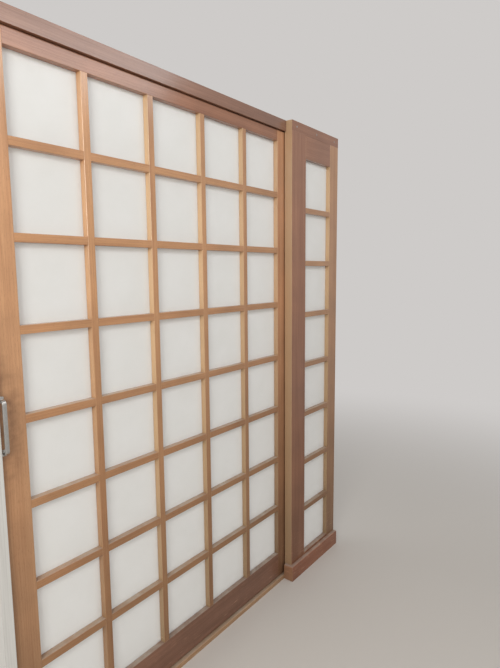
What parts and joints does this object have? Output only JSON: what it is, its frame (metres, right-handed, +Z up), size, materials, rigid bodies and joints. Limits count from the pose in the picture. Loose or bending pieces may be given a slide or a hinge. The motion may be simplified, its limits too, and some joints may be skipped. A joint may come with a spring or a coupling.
{
  "type": "sliding screen",
  "caption": "Sliding timber lattice screen with milky panes that rolls on a floor rail and slides behind a fixed sidelight, in its grooved frame with threshold and skirting.",
  "frame": {"origin": "on the floor, at the middle of the frame's width, in the plane of the leaf's front face", "axes": "+X along the wall to the right, seen from the corridor; +Y into the room; +Z up"},
  "size_m": [1.781, 0.123, 2.148],
  "materials": {
    "stained_wood": "satin orange-brown stain",
    "dark_stained_wood": "satin brown stain",
    "skirting_wood": "satin reddish brown",
    "pale_wood": "satin light brown",
    "white_paint": "white paint on wood",
    "milky_sheet": "milky, glossy",
    "satin_nickel": "satin nickel",
    "pressed_steel": "zinc plated",
    "screw_steel": "yellow zinc",
    "brass": "drawn brass",
    "nylon": "natural nylon",
    "rubber": "matt black"
  },
  "bodies": {
    "frame": {"head": "dark_stained_wood", "threshold": "pale_wood", "floor_rail": "brass", "left_jamb": "white_paint", "right_jamb": "dark_stained_wood", "left_buffers": "rubber", "right_buffers": "rubber", "skirting_board": "skirting_wood", "skirting_return": "skirting_wood", "sidelight_bead_bottom": "stained_wood", "sidelight_bead_left": "stained_wood", "sidelight_bead_right": "stained_wood", "sidelight_bead_top": "stained_wood", "sidelight_bottom_rail": "dark_stained_wood", "sidelight_cross_bar_1": "stained_wood", "sidelight_cross_bar_2": "stained_wood", "sidelight_cross_bar_3": "stained_wood", "sidelight_cross_bar_4": "stained_wood", "sidelight_cross_bar_5": "stained_wood", "sidelight_cross_bar_6": "stained_wood", "sidelight_cross_bar_7": "stained_wood", "sidelight_head": "dark_stained_wood", "sidelight_post": "dark_stained_wood", "sidelight_sheet": "milky_sheet", "sidelight_stile": "dark_stained_wood", "sidelight_top_rail": "dark_stained_wood"},
    "leaf": {"bottom_rail": "dark_stained_wood", "cross_bar_1": "stained_wood", "cross_bar_2": "stained_wood", "cross_bar_3": "stained_wood", "cross_bar_4": "stained_wood", "cross_bar_5": "stained_wood", "cross_bar_6": "stained_wood", "cross_bar_7": "stained_wood", "front_pull": "satin_nickel", "leaf_bead_bottom": "stained_wood", "leaf_bead_left": "stained_wood", "leaf_bead_right": "stained_wood", "leaf_bead_top": "stained_wood", "leaf_sheet": "milky_sheet", "left_axle": "pressed_steel", "left_stile": "stained_wood", "left_wheel_housing": "pressed_steel", "pull_bolts": "screw_steel", "rear_pull": "satin_nickel", "right_axle": "pressed_steel", "right_stile": "dark_stained_wood", "right_wheel_housing": "pressed_steel", "top_rail": "dark_stained_wood", "upright_bar_1": "stained_wood", "upright_bar_2": "stained_wood", "upright_bar_3": "stained_wood", "upright_bar_4": "stained_wood"},
    "left_wheel": {"left_wheel": "nylon"},
    "right_wheel": {"right_wheel": "nylon"}
  },
  "joints": [
    {"name": "leaf_slide", "type": "slide", "parent": "frame", "child": "leaf", "axis": [1, 0, 0], "range_m": [0, 0.36]},
    {"name": "left_wheel_spin", "type": "hinge", "parent": "leaf", "child": "left_wheel", "pos_m": [-0.7145, 0.019, 0.0343], "axis": [0, 1, 0], "continuous": true},
    {"name": "right_wheel_spin", "type": "hinge", "parent": "leaf", "child": "right_wheel", "pos_m": [0.3465, 0.019, 0.0343], "axis": [0, 1, 0], "continuous": true}
  ],
  "couplings": [
    {"joint": "left_wheel_spin", "follows": "leaf_slide", "rad_per_m": 83.333},
    {"joint": "right_wheel_spin", "follows": "leaf_slide", "rad_per_m": 83.333}
  ]
}
